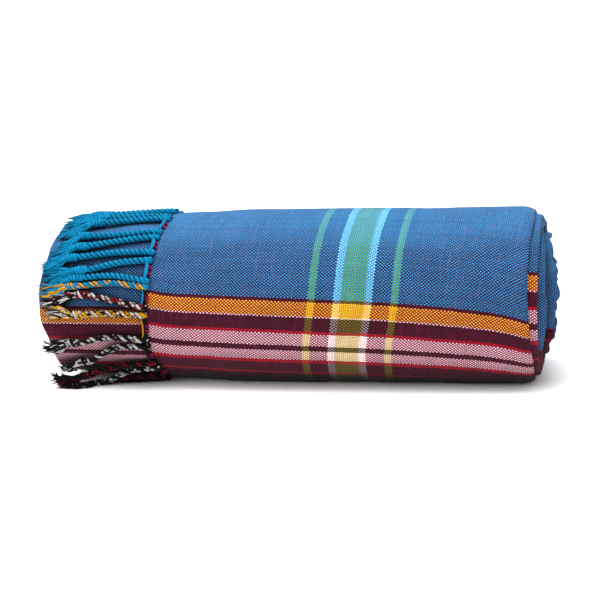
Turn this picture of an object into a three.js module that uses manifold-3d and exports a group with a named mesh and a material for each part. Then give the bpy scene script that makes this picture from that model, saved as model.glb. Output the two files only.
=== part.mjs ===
// A kikoi: one woven cotton wrap cloth, folded lengthwise into a strip and rolled up,
// lying on its side with the twisted fringe of one end showing over the left end.
// Millimetres, +Z up. The roll lies along X, its front faces -Y.
import * as THREE from "three";
import { mergeVertices } from "three/addons/utils/BufferGeometryUtils.js";
import Module from "manifold-3d";

const wasm = await Module();
wasm.setup();

// Driving dimensions of the rolled cloth.
const rollHeight = 84;
const rollDepth = 88;
const middle = rollHeight / 2;
// The lower half would be this deep if the floor didn't press it flat.
const lowerReach = 45;
const clothWall = 1.0;
const seamGap = 0.3;
const layerStep = clothWall + seamGap;
// One winding of the folded strip, all its layers together.
const pitch = 6;
// Angles are in degrees round the roll, from the front, downwards.
const selvedgeAngle = 107;
// The share of a turn in which the step at the selvedge dies away.
const stepFade = 0.4;

const turnSteps = 46;
const spiralSteps = 38;
const ridgeLines = 3;

// How far the cloth lies inside the roll's full outline, along its length.
const slackRows = [
  { x: -120, depth: 4.4 },
  { x: -98, depth: 3.4 },
  { x: -66, depth: 1.9 },
  { x: -45, depth: 1.2 },
  { x: -20, depth: 0 },
  { x: 135, depth: 0 },
];

// Where each edge or fold stands along the roll, at angles round it.
const fringeEdgeRows = [
  { angle: -150, x: -61 },
  { angle: -75, x: -59.5 },
  { angle: -48, x: -62 },
  { angle: -22, x: -63.7 },
  { angle: 5, x: -65.2 },
  { angle: 31, x: -65.8 },
  { angle: 54, x: -62 },
  { angle: 95, x: -62.5 },
  { angle: 145, x: -61.5 },
];
const leftFoldRows = [
  { angle: -150, x: -115 },
  { angle: -70, x: -114 },
  { angle: -46, x: -115.4 },
  { angle: -12, x: -118.4 },
  { angle: 8, x: -117.7 },
  { angle: 25, x: -114.6 },
  { angle: 48, x: -116 },
  { angle: 95, x: -115 },
  { angle: 145, x: -116.4 },
];
const rightFoldRows = [
  { angle: -150, x: 121 },
  { angle: -72, x: 121.5 },
  { angle: -42, x: 119.5 },
  { angle: -12, x: 119 },
  { angle: 18, x: 120 },
  { angle: 45, x: 121.5 },
  { angle: 100, x: 120.6 },
];
const thirdFoldRows = [
  { angle: -150, x: 124.4 },
  { angle: -72, x: 124.2 },
  { angle: -30, x: 125 },
  { angle: 5, x: 124.6 },
  { angle: 45, x: 123.6 },
  { angle: 100, x: 123.4 },
];
const innerEndRows = [
  { angle: -150, x: 127.6 },
  { angle: -82, x: 127.2 },
  { angle: -40, x: 131 },
  { angle: -27, x: 130.2 },
  { angle: -12, x: 132.2 },
  { angle: 6, x: 130 },
  { angle: 33, x: 127.4 },
  { angle: 46, x: 125.6 },
  { angle: 95, x: 126.4 },
  { angle: 145, x: 129 },
];

// Returns a smooth 0 to 1 blend.
function ease(share) {
  const held = Math.min(1, Math.max(0, share));
  return held * held * (3 - 2 * held);
}

// Reads a table of rows that closes on itself round the roll.
function aroundRoll(rows, angle) {
  const first = rows[0].angle;
  const turned = ((((angle - first) % 360) + 360) % 360) + first;
  let row = rows.length - 1;
  while (rows[row].angle > turned) row -= 1;
  const next = rows[(row + 1) % rows.length];
  const nextAngle = row + 1 === rows.length ? next.angle + 360 : next.angle;
  const share = (turned - rows[row].angle) / (nextAngle - rows[row].angle);
  return rows[row].x + (next.x - rows[row].x) * ease(share);
}

function slack(x) {
  let row = slackRows.length - 2;
  while (row > 0 && slackRows[row].x > x) row -= 1;
  const from = slackRows[row];
  const to = slackRows[row + 1];
  return from.depth + (to.depth - from.depth) * ease((x - from.x) / (to.x - from.x));
}

// The point at x and at an angle round the roll, some depth inside its full outline.
function place(x, angle, depth) {
  const radians = THREE.MathUtils.degToRad(angle);
  const down = Math.sin(radians) * (Math.sin(radians) > 0 ? lowerReach : middle);
  const keep = 1 - (depth + slack(x)) / middle;
  const across = (-Math.cos(radians) * rollDepth) / 2;
  return new THREE.Vector3(x, across * keep, middle - Math.min(down, middle) * keep);
}

// A share of the turn that ends at the selvedge, with the winding's step at its start.
function woundPlace(x, turn, depth) {
  const step = pitch * (1 - ease(turn / stepFade));
  return place(x, selvedgeAngle + 360 * turn, depth + step);
}

function turnOf(angle) {
  return ((((angle - selvedgeAngle) % 360) + 360) % 360) / 360;
}

function closedGeometry(points, triangles) {
  const geometry = new THREE.BufferGeometry();
  geometry.setAttribute("position", new THREE.Float32BufferAttribute(points, 3));
  geometry.setIndex(triangles);
  return mergeVertices(geometry);
}

// Joins rings of equal length into the side of a solid, open at both ends.
function ringSolid(rings) {
  const size = rings[0].length;
  const points = rings.flat().flatMap((point) => point.toArray());
  const triangles = [];
  for (let ring = 0; ring + 1 < rings.length; ring += 1) {
    for (let side = 0; side < size; side += 1) {
      const next = (side + 1) % size;
      const low = ring * size;
      const high = low + size;
      triangles.push(low + side, low + next, high + side);
      triangles.push(low + next, high + next, high + side);
    }
  }
  return { points, triangles, size };
}

// A wall of cloth: a closed profile of x and depth, carried once round the winding.
function woundWall(profileAt) {
  const rings = [];
  for (let step = 0; step <= turnSteps; step += 1) {
    const turn = step / turnSteps;
    const profile = profileAt(selvedgeAngle + 360 * turn);
    rings.push(profile.map(({ x, depth }) => woundPlace(x, turn, depth)));
  }
  const { points, triangles, size } = ringSolid(rings);
  const flat = profileAt(selvedgeAngle).map(({ x, depth }) => new THREE.Vector2(x, -depth));
  const last = (rings.length - 1) * size;
  const backwards = THREE.ShapeUtils.isClockWise(flat);
  for (const face of THREE.ShapeUtils.triangulateShape(flat, [])) {
    const [a, b, c] = backwards ? face.reverse() : face;
    triangles.push(c, b, a);
    triangles.push(last + a, last + b, last + c);
  }
  return outward(closedGeometry(points, triangles));
}

// Turns every face over where the solid came out inside out.
function outward(geometry) {
  const at = geometry.getAttribute("position");
  const index = geometry.getIndex();
  const [a, b, c] = [new THREE.Vector3(), new THREE.Vector3(), new THREE.Vector3()];
  let volume = 0;
  for (let face = 0; face < index.count; face += 3) {
    a.fromBufferAttribute(at, index.getX(face));
    b.fromBufferAttribute(at, index.getX(face + 1));
    c.fromBufferAttribute(at, index.getX(face + 2));
    volume += a.dot(b.cross(c));
  }
  if (volume > 0) return geometry;
  const flipped = Array.from(index.array);
  for (let face = 0; face < flipped.length; face += 3) {
    [flipped[face + 1], flipped[face + 2]] = [flipped[face + 2], flipped[face + 1]];
  }
  geometry.setIndex(flipped);
  return geometry;
}

// Two layers joined by a round fold at one end. The upper layer starts at farX and the
// under layer stops at nearX. Toward is -1 for a fold at the left and 1 at the right.
function foldedProfile({ farX, foldX, nearX, depth, toward, stations }) {
  const half = clothWall + seamGap / 2;
  const bend = foldX - toward * half;
  const middleDepth = depth + half;
  const along = [farX, ...stations];
  const outer = along.map((x) => ({ x, depth }));
  for (const turn of [-90, -45, 0, 45, 90]) {
    const radians = THREE.MathUtils.degToRad(turn);
    outer.push({
      x: bend + toward * half * Math.cos(radians),
      depth: middleDepth + half * Math.sin(radians),
    });
  }
  const under = depth + layerStep + clothWall;
  const inner = [
    { x: nearX, depth: under },
    { x: nearX, depth: depth + layerStep },
    { x: bend, depth: depth + layerStep },
    { x: bend, depth: depth + clothWall },
  ];
  inner.push(...along.reverse().map((x) => ({ x, depth: depth + clothWall })));
  return [...outer, ...inner];
}

const returnLength = 6;
// Every layer bends at these stations along the roll, so that layers stay parallel.
const stationXs = [-98, -82, -66, -56, -45, -32, -20, 34, 80];
const outerFrom = -50;

// The outer stretch, from the fringed edge to its fold at the right end.
function outerStretch() {
  return woundWall((angle) => {
    const foldX = aroundRoll(rightFoldRows, angle);
    return foldedProfile({
      farX: aroundRoll(fringeEdgeRows, angle),
      foldX,
      nearX: foldX - returnLength,
      depth: 0,
      toward: 1,
      stations: stationXs.filter((x) => x > outerFrom),
    });
  });
}

// The second stretch, under the outer one and out past the fringe to the left fold.
function secondStretch() {
  return woundWall((angle) => {
    const foldX = aroundRoll(leftFoldRows, angle);
    return foldedProfile({
      farX: aroundRoll(rightFoldRows, angle) - returnLength - seamGap,
      foldX,
      nearX: foldX + returnLength,
      depth: layerStep,
      toward: -1,
      stations: [...stationXs].reverse(),
    });
  });
}

// The third stretch shows as a sliver past the outer fold at the right end.
const thirdStart = 104;
function thirdStretch() {
  return woundWall((angle) => {
    const foldX = aroundRoll(thirdFoldRows, angle);
    return foldedProfile({
      farX: thirdStart,
      foldX,
      nearX: foldX - returnLength,
      depth: 2 * layerStep,
      toward: 1,
      stations: [],
    });
  });
}

// The hidden layers as one rounded solid. Each end is a spiral of round folds.
const foldRound = 1.6;
const leftHubX = -112.5;
const rightHubX = 126;
const hubDepth = 37;

function endPoint({ line, ridge, depth, edgeAt, hubX, toward }) {
  const winding = Math.floor(line / spiralSteps);
  const turn = 1 - (line - winding * spiralSteps) / spiralSteps;
  const own = depth + pitch * winding + (pitch * ridge) / ridgeLines;
  const angle = selvedgeAngle + 360 * turn;
  const inwards = Math.min(1, (own - depth) / (hubDepth - depth));
  const height = ridge === 0 ? 0 : foldRound;
  const x = edgeAt(angle) * (1 - inwards) + hubX * inwards + toward * (height - foldRound);
  return woundPlace(x, turn, own);
}

// Points of one end, laid along the spiral, with the triangles between them.
function spiralEnd({ depth, edgeAt, hubX, toward }) {
  const windings = Math.floor((hubDepth - depth) / pitch);
  const lines = windings * spiralSteps;
  const points = [];
  const numbers = new Map();
  const number = (line, ridge) => {
    if (ridge === ridgeLines) return number(line + spiralSteps, 0);
    const key = `${line} ${ridge}`;
    if (!numbers.has(key)) {
      numbers.set(key, points.length);
      points.push(endPoint({ line, ridge, depth, edgeAt, hubX, toward }));
    }
    return numbers.get(key);
  };
  const rim = [];
  for (let line = 0; line <= spiralSteps; line += 1) rim.push(number(line, 0));
  for (let ridge = ridgeLines - 1; ridge > 0; ridge -= 1) rim.push(number(0, ridge));
  const triangles = [];
  for (let line = 0; line < lines; line += 1) {
    for (let ridge = 0; ridge < ridgeLines; ridge += 1) {
      const corners = [
        number(line, ridge),
        number(line + 1, ridge),
        number(line + 1, ridge + 1),
        number(line, ridge + 1),
      ];
      triangles.push([corners[0], corners[1], corners[2]], [corners[0], corners[2], corners[3]]);
    }
  }
  const heart = [];
  for (let line = 0; line < spiralSteps; line += 1) heart.push(number(lines + line, 0));
  for (let ridge = ridgeLines; ridge > 0; ridge -= 1) heart.push(number(lines, ridge));
  const centre = points.length;
  points.push(place(hubX - toward * foldRound, 0, middle - slack(hubX)));
  heart.forEach((from, at) => triangles.push([from, heart[(at + 1) % heart.length], centre]));
  return { points, rim, triangles };
}

function hiddenLayers() {
  const leftDepth = 3 * layerStep + seamGap / 2;
  const rightDepth = 4 * layerStep + seamGap / 2;
  const leftEdge = (angle) => aroundRoll(leftFoldRows, angle) + clothWall;
  const rightEdge = (angle) => aroundRoll(innerEndRows, angle);
  const left = spiralEnd({ depth: leftDepth, edgeAt: leftEdge, hubX: leftHubX, toward: -1 });
  const right = spiralEnd({ depth: rightDepth, edgeAt: rightEdge, hubX: rightHubX, toward: 1 });
  // Steps in the side leave room for the returns of the folds and for the third stretch.
  const foldRoom = returnLength + seamGap;
  const sections = [
    { xAt: (angle) => aroundRoll(leftFoldRows, angle) + foldRoom, depth: leftDepth },
    { xAt: (angle) => aroundRoll(leftFoldRows, angle) + foldRoom + 1, depth: 2 * layerStep },
    ...stationXs.map((x) => ({ xAt: () => x, depth: 2 * layerStep })),
    { xAt: () => thirdStart - 1, depth: 2 * layerStep },
    { xAt: () => thirdStart - seamGap, depth: rightDepth },
  ];
  const rings = sections.map(({ xAt, depth }) => {
    const ring = [];
    for (let line = 0; line <= spiralSteps; line += 1) {
      const turn = 1 - line / spiralSteps;
      ring.push(woundPlace(xAt(selvedgeAngle + 360 * turn), turn, depth));
    }
    for (let ridge = ridgeLines - 1; ridge > 0; ridge -= 1) {
      ring.push(woundPlace(xAt(selvedgeAngle), 1, depth + (pitch * ridge) / ridgeLines));
    }
    return ring;
  });
  rings.unshift(left.rim.map((number) => left.points[number]));
  rings.push(right.rim.map((number) => right.points[number]));
  const side = ringSolid(rings);
  const points = [...side.points];
  const triangles = [...side.triangles];
  const addEnd = (end, flip) => {
    const base = points.length / 3;
    points.push(...end.points.flatMap((point) => point.toArray()));
    for (const [a, b, c] of end.triangles) {
      triangles.push(...(flip ? [base + a, base + c, base + b] : [base + a, base + b, base + c]));
    }
  };
  addEnd(left, true);
  addEnd(right, false);
  return outward(closedGeometry(points, triangles));
}

// The fringe. The warp ends are twisted into cords, knotted, and left to fray.
const stripWidth = 2.4;
const cordRadius = 1.35;
const lockRadius = 0.85;
const cordSides = 4;
const lockSides = 3;

// One row for each cord: the angle round the roll at its root, halfway, knot and tip,
// the x of its knot and tip, the knot's radius and how far the tip stands off the cloth.
const cordRows = [
  { root: -79, half: -80, knot: -80, tip: -76, knotX: -93, tipX: -108, size: 2.2, off: 0 },
  { root: -75, half: -74, knot: -72, tip: -61, knotX: -95, tipX: -109, size: 2.2, off: 0 },
  { root: -59, half: -57, knot: -57, tip: -47, knotX: -99, tipX: -109, size: 2.2, off: 0 },
  { root: -54, half: -51, knot: -47, tip: -38, knotX: -99, tipX: -112, size: 2.2, off: 0 },
  { root: -41, half: -41, knot: -38, tip: -31, knotX: -103, tipX: -115, size: 2.2, off: 0 },
  { root: -35, half: -33, knot: -28, tip: -25, knotX: -97, tipX: -112, size: 2.5, off: 0 },
  { root: -20, half: -24, knot: -23, tip: -19, knotX: -99, tipX: -113, size: 2.1, off: 0 },
  { root: -16, half: -19, knot: -17, tip: -13, knotX: -101, tipX: -115, size: 2.1, off: 0 },
  { root: -2, half: -7, knot: -11, tip: -8, knotX: -97, tipX: -113, size: 2.2, off: 0 },
  { root: 3, half: 2, knot: 3, tip: 1, knotX: -100, tipX: -112, size: 2.2, off: 0 },
  { root: 20, half: 19, knot: 23, tip: 26, knotX: -104, tipX: -117, size: 2.2, off: 0 },
  { root: 25, half: 26, knot: 37, tip: 42, knotX: -101, tipX: -115, size: 2.2, off: 0 },
  { root: 40, half: 42, knot: 48, tip: 54, knotX: -102, tipX: -113, size: 2.2, off: 0.5 },
  { root: 45, half: 48, knot: 56, tip: 63, knotX: -97, tipX: -109, size: 2.1, off: 1 },
  { root: 59, half: 61, knot: 65, tip: 70, knotX: -100, tipX: -112, size: 1.7, off: 1 },
  { root: 64, half: 68, knot: 74, tip: 78, knotX: -96, tipX: -107, size: 1.6, off: 0.5 },
  { root: 80, half: 81, knot: 84, tip: 85, knotX: -98, tipX: -110, size: 1.6, off: 0.5 },
  { root: 86, half: 88, knot: 92, tip: 95, knotX: -102, tipX: -113, size: 1.6, off: 0.5 },
  { root: 98, half: 99, knot: 102, tip: 103, knotX: -97, tipX: -109, size: 1.6, off: 0.5 },
  { root: 122, half: 120, knot: 117, tip: 114, knotX: -101, tipX: -113, size: 2.2, off: 1 },
  { root: 128, half: 127, knot: 125, tip: 123, knotX: -98, tipX: -110, size: 2.2, off: 1 },
  { root: 142, half: 140, knot: 136, tip: 132, knotX: -103, tipX: -115, size: 2.2, off: 0 },
  { root: 147, half: 148, knot: 146, tip: 141, knotX: -97, tipX: -111, size: 2.2, off: 0 },
  { root: 162, half: 160, knot: 157, tip: 154, knotX: -100, tipX: -112, size: 2.2, off: 0 },
  { root: 168, half: 170, knot: 168, tip: 163, knotX: -102, tipX: -114, size: 2.2, off: 0 },
  { root: 182, half: 180, knot: 178, tip: 175, knotX: -96, tipX: -110, size: 2.2, off: 0 },
  { root: 188, half: 190, knot: 190, tip: 186, knotX: -101, tipX: -114, size: 2.2, off: 0 },
  { root: 201, half: 199, knot: 199, tip: 196, knotX: -99, tipX: -112, size: 2.2, off: 0 },
  { root: 206, half: 209, knot: 210, tip: 207, knotX: -103, tipX: -115, size: 2.2, off: 0 },
  { root: 221, half: 219, knot: 220, tip: 216, knotX: -98, tipX: -110, size: 2.2, off: 0 },
  { root: 226, half: 230, knot: 231, tip: 227, knotX: -100, tipX: -113, size: 2.2, off: 0 },
  { root: 241, half: 240, knot: 242, tip: 238, knotX: -102, tipX: -114, size: 2.2, off: 0 },
  { root: 247, half: 252, knot: 254, tip: 250, knotX: -97, tipX: -109, size: 2.2, off: 0 },
  { root: 261, half: 263, knot: 265, tip: 262, knotX: -99, tipX: -112, size: 2.2, off: 0 },
  { root: 266, half: 273, knot: 274, tip: 273, knotX: -95, tipX: -108, size: 2.2, off: 0 },
];

// A point over the second stretch, lifted clear of it.
function overSecond(x, angle, lift) {
  return woundPlace(x, turnOf(angle), layerStep - seamGap - lift);
}

// A strand of a few sides through its points, with a radius at each, closed at its ends.
function strand(points, radii, sides) {
  const path = new THREE.CatmullRomCurve3(points);
  const rings = radii.map((radius, at) => {
    const share = at / (radii.length - 1);
    const centre = path.getPoint(share);
    const ahead = path.getTangent(share);
    const out = new THREE.Vector3(0, centre.y, centre.z - middle);
    const beside = new THREE.Vector3().crossVectors(ahead, out).normalize();
    const over = new THREE.Vector3().crossVectors(beside, ahead).normalize();
    const ring = [];
    for (let side = 0; side < sides; side += 1) {
      const radians = (2 * Math.PI * (side + 0.5)) / sides;
      const point = centre.clone();
      point.addScaledVector(beside, radius * Math.cos(radians));
      point.addScaledVector(over, radius * Math.sin(radians));
      ring.push(point);
    }
    return ring;
  });
  const { points: corners, triangles, size } = ringSolid(rings);
  const last = (rings.length - 1) * size;
  for (let side = 1; side + 1 < size; side += 1) {
    triangles.push(0, side + 1, side);
    triangles.push(last, last + side, last + side + 1);
  }
  return solid(outward(closedGeometry(corners, triangles)));
}

function solid(geometry) {
  const mesh = new wasm.Mesh({
    numProp: 3,
    vertProperties: new Float32Array(geometry.getAttribute("position").array),
    triVerts: new Uint32Array(geometry.getIndex().array),
  });
  return new wasm.Manifold(mesh);
}

function geometryOf(body) {
  const { vertProperties, triVerts, numProp } = body.getMesh();
  const geometry = new THREE.BufferGeometry();
  geometry.setAttribute("position", new THREE.BufferAttribute(vertProperties, numProp));
  geometry.setIndex(new THREE.BufferAttribute(triVerts, 1));
  return geometry;
}

// One cord with its knot, made as a single strand that swells, and three frayed locks.
const plainRings = 6;
const knotLength = 5;
const brushSpread = 3.2;
function fringeCord({ root, half, knot, tip, knotX, tipX, size, off }) {
  const rootX = aroundRoll(fringeEdgeRows, root) - seamGap - stripWidth / 2;
  const halfX = (rootX + knotX) / 2;
  const knotEnd = knotX - knotLength / 2;
  const drift = (tip - knot) / 6;
  const route = [
    overSecond(rootX, root, cordRadius),
    overSecond(halfX, half, cordRadius),
    overSecond(knotX + knotLength / 2, knot, size),
    overSecond(knotEnd, knot + drift, size),
  ];
  const plain = new Array(plainRings).fill(cordRadius);
  const bodies = [strand(route, [...plain, size, size, cordRadius], cordSides)];
  for (const side of [-1, 0, 1]) {
    const reach = tipX + Math.abs(side) * 2;
    const tipAngle = tip + side * brushSpread;
    const lock = [
      overSecond(knotX, knot, size),
      overSecond((knotEnd + reach) / 2, (knot + tipAngle) / 2, lockRadius + off / 2),
      overSecond(reach, tipAngle, lockRadius + off),
    ];
    bodies.push(strand(lock, [lockRadius, lockRadius, lockRadius / 2], lockSides));
  }
  return bodies;
}

// The narrow strip at the outer stretch's edge, from which the cords grow.
function fringeStrip() {
  return woundWall((angle) => {
    const edge = aroundRoll(fringeEdgeRows, angle) - seamGap;
    return [
      { x: edge - stripWidth, depth: 0 },
      { x: edge, depth: 0 },
      { x: edge, depth: clothWall },
      { x: edge - stripWidth, depth: clothWall },
    ];
  });
}

function fringe() {
  let body = solid(fringeStrip());
  for (const row of cordRows) {
    for (const piece of fringeCord(row)) body = body.add(piece);
  }
  return geometryOf(body);
}

const group = new THREE.Group();

function addPiece(name, geometry, color) {
  const material = new THREE.MeshStandardMaterial({ color, roughness: 0.9, metalness: 0 });
  geometry.computeVertexNormals();
  const mesh = new THREE.Mesh(geometry, material);
  mesh.name = name;
  group.add(mesh);
}

addPiece("cloth_outer", outerStretch(), 0x3f6a9c);
addPiece("cloth_second", secondStretch(), 0x355f8c);
addPiece("cloth_third", thirdStretch(), 0x5a2a3c);
addPiece("roll_inner", hiddenLayers(), 0x35527f);
addPiece("fringe_outer", fringe(), 0x7fc6d8);

// The part stands on the floor, centred under its own box.
const box = new THREE.Box3().setFromObject(group);
const centre = box.getCenter(new THREE.Vector3());
group.position.set(-centre.x, -centre.y, -box.min.z);

export default group;
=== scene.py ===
import math
import random

import bpy
from mathutils import Matrix, Vector, noise


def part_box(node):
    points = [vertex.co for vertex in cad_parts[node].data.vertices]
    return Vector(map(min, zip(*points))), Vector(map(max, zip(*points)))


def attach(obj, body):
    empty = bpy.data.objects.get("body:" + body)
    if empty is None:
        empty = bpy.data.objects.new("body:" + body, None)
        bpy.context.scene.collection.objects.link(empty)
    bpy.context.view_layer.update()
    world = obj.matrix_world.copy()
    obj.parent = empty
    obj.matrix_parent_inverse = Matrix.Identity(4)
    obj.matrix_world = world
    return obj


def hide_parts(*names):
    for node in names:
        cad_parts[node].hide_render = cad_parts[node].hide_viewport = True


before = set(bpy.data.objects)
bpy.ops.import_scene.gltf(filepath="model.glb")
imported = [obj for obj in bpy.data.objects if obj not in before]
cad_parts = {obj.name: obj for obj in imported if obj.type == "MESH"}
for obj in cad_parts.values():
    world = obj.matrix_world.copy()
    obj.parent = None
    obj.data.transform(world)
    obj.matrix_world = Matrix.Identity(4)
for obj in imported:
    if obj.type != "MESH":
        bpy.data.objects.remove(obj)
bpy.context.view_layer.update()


# The place where the roll lies: a pale sweep of floor, seen from the front, a little
# from the right and from above, and turned so that the roll lies level in the frame.
ROLL_HEIGHT, ROLL_DEPTH = 84.0, 88.0
MIDDLE = ROLL_HEIGHT / 2
LOWER_REACH = 45.0
# Measures are in millimetres, along from the roll's middle, and angles go down from its
# front. Each winding lies a pitch further in, and comes up to the one outside it in the
# first part of a turn past the selvedge.
PITCH = 6.0
SELVEDGE_ANGLE = 107.0
STEP_FADE = 0.4
# How far the roll draws in towards its ends: x, and millimetres.
SLACK = ((-120, 4.4), (-98, 3.4), (-66, 1.9), (-45, 1.2), (-20, 0.0), (114.5, 0.0),
         (124.5, 2.6), (135, 2.8))


def ease(share):
    held = min(1.0, max(0.0, share))
    return held * held * (3 - 2 * held)


def along_table(rows, at):
    """Reads a table of two columns, level at each of its rows."""
    for (x0, y0), (x1, y1) in zip(rows, rows[1:]):
        if at <= x1 or (x1, y1) == rows[-1]:
            return y0 + (y1 - y0) * ease((at - x0) / (x1 - x0))


def place(x, angle, depth):
    """A point in millimetres at an angle down from the front, depth inside the outline."""
    turn = math.radians(angle)
    down = math.sin(turn) * (LOWER_REACH if math.sin(turn) > 0 else MIDDLE)
    keep = 1 - (depth + along_table(SLACK, x)) / MIDDLE
    return Vector((x, -math.cos(turn) * ROLL_DEPTH / 2 * keep, MIDDLE - min(down, MIDDLE) * keep))


def wound_place(x, turn, depth):
    """The same on the spiral: turn 0 is just past the selvedge, turn 1 is the selvedge."""
    step = PITCH * (1 - ease(turn / STEP_FADE))
    return place(x, SELVEDGE_ANGLE + 360 * turn, depth + step)


# The roll's own measures are moved to where the part lies.
outer_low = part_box("cloth_outer")[0]
RING_STEPS = 46
ring = [wound_place(0, step / RING_STEPS, 0) for step in range(RING_STEPS + 1)]
THIRD_START = 104.0
SHIFT = Vector((
    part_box("cloth_third")[0][0] - THIRD_START / 1000,
    outer_low[1] - min(point.y for point in ring) / 1000,
    outer_low[2],
))


def metres(point):
    return point / 1000 + SHIFT


# The camera looks down a little from the right, turned so that the roll lies level.
AZIMUTH, ELEVATION, LEVELLING = math.radians(11), math.radians(12), math.radians(-2.32)
AIM = Vector((3.4, 0.0, 38.1))
DISTANCE, LENS, SENSOR = 0.79, 94.8, 36.0

camera = bpy.data.objects.new("camera", bpy.data.cameras.new("camera"))
bpy.context.scene.collection.objects.link(camera)
back = Vector((math.sin(AZIMUTH) * math.cos(ELEVATION),
               -math.cos(AZIMUTH) * math.cos(ELEVATION),
               math.sin(ELEVATION)))
level = Vector((math.cos(AZIMUTH), math.sin(AZIMUTH), 0.0))
upright = back.cross(level)
right = level * math.cos(LEVELLING) + upright * math.sin(LEVELLING)
turned_up = back.cross(right)
camera.matrix_world = Matrix.Translation(metres(AIM) + back * DISTANCE) @ Matrix(
    (right, turned_up, back)).transposed().to_4x4()
camera.data.lens, camera.data.sensor_width = LENS, SENSOR
camera.data.clip_start = 0.02
bpy.context.scene.camera = camera

# The floor, pale and matt.
bpy.ops.mesh.primitive_plane_add(size=60.0, location=(0, 0, 0))
floor = bpy.context.object
floor.name = "floor"
pale = bpy.data.materials.new("pale_floor")
pale.use_nodes = True
pale.node_tree.nodes["Principled BSDF"].inputs["Base Color"].default_value = (0.93, 0.93, 0.93, 1)
pale.node_tree.nodes["Principled BSDF"].inputs["Roughness"].default_value = 0.9
floor.data.materials.append(pale)


def soft_light(name, size, power, place_at, aim_at=(0, 0, 0.04)):
    """A round studio lamp, aimed at the middle of the roll."""
    lamp = bpy.data.lights.new(name, "AREA")
    lamp.shape, lamp.size, lamp.energy = "DISK", size, power
    holder = bpy.data.objects.new(name, lamp)
    bpy.context.scene.collection.objects.link(holder)
    holder.location = place_at
    holder.rotation_euler = (Vector(aim_at) - Vector(place_at)).to_track_quat("-Z", "Y").to_euler()


soft_light("overhead", 0.8, 11.5, (-0.1, -0.15, 1.0))
soft_light("front_left", 0.5, 2.2, (-0.7, -0.9, 0.45))
sun = bpy.data.lights.new("sky_light", "SUN")
sun.energy, sun.angle = 2.1, math.radians(70)
sun_holder = bpy.data.objects.new("sky_light", sun)
bpy.context.scene.collection.objects.link(sun_holder)
sun_holder.rotation_euler = (math.radians(18), math.radians(-14), 0)
world = bpy.data.worlds.new("studio")
world.use_nodes = True
world.node_tree.nodes["Background"].inputs["Color"].default_value = (1, 1, 1, 1)
world.node_tree.nodes["Background"].inputs["Strength"].default_value = 0.82
bpy.context.scene.world = world
bpy.context.scene.view_settings.view_transform = "Standard"


# The cloth: plain-woven cotton, a turquoise warp along the roll crossed by a dark
# burgundy weft round it. Stripes are laid in the warp near the selvedge and a few picks
# of lime and white cross them. Both are charted here thread by thread, in millimetres.
WARP_SPACING, WEFT_SPACING = 0.76, 0.88
KEPT_DOWN = 0.74


def yarn(red, green, blue):
    """An 8-bit screen colour as a linear one, kept down for the bright studio light."""
    def linear(part):
        part /= 255
        return KEPT_DOWN * (part / 12.92 if part <= 0.04045 else ((part + 0.055) / 1.055) ** 2.4)

    return (linear(red), linear(green), linear(blue), 1.0)


TURQUOISE = yarn(54, 130, 189)
BURGUNDY = yarn(88, 5, 34)
WINE = yarn(64, 4, 38)
ORANGE = yarn(255, 160, 44)
WHITE = yarn(250, 194, 206)
CRIMSON = yarn(172, 6, 38)
LIME = yarn(150, 186, 48)
COOL_WHITE = yarn(196, 238, 232)
VIOLET = yarn(104, 26, 96)

# From the blue ground down to the selvedge: where each stripe starts, and its yarn.
WARP_STRIPES = (
    (0.0, BURGUNDY), (1.5, ORANGE), (7.8, WHITE), (9.0, BURGUNDY), (15.8, CRIMSON),
    (17.5, WHITE), (24.0, BURGUNDY), (27.6, WHITE), (33.6, CRIMSON), (35.4, BURGUNDY),
    (44.2, CRIMSON), (45.4, BURGUNDY),
)
# Along the cloth, the same either side of the middle of the wide lime stripe.
CROSS_MIDDLE = 37.5
WEFT_STRIPES = (
    (15.7, LIME), (19.3, WINE), (28.0, COOL_WHITE), (31.6, LIME),
    (43.4, COOL_WHITE), (47.0, WINE), (55.7, LIME), (59.3, WINE),
)
# How much of each cloth's length and width the two charts take in.
WARP_FROM, WARP_TO = -10.0, 60.0
WEFT_FROM, WEFT_TO = 0.0, 70.0


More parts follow.
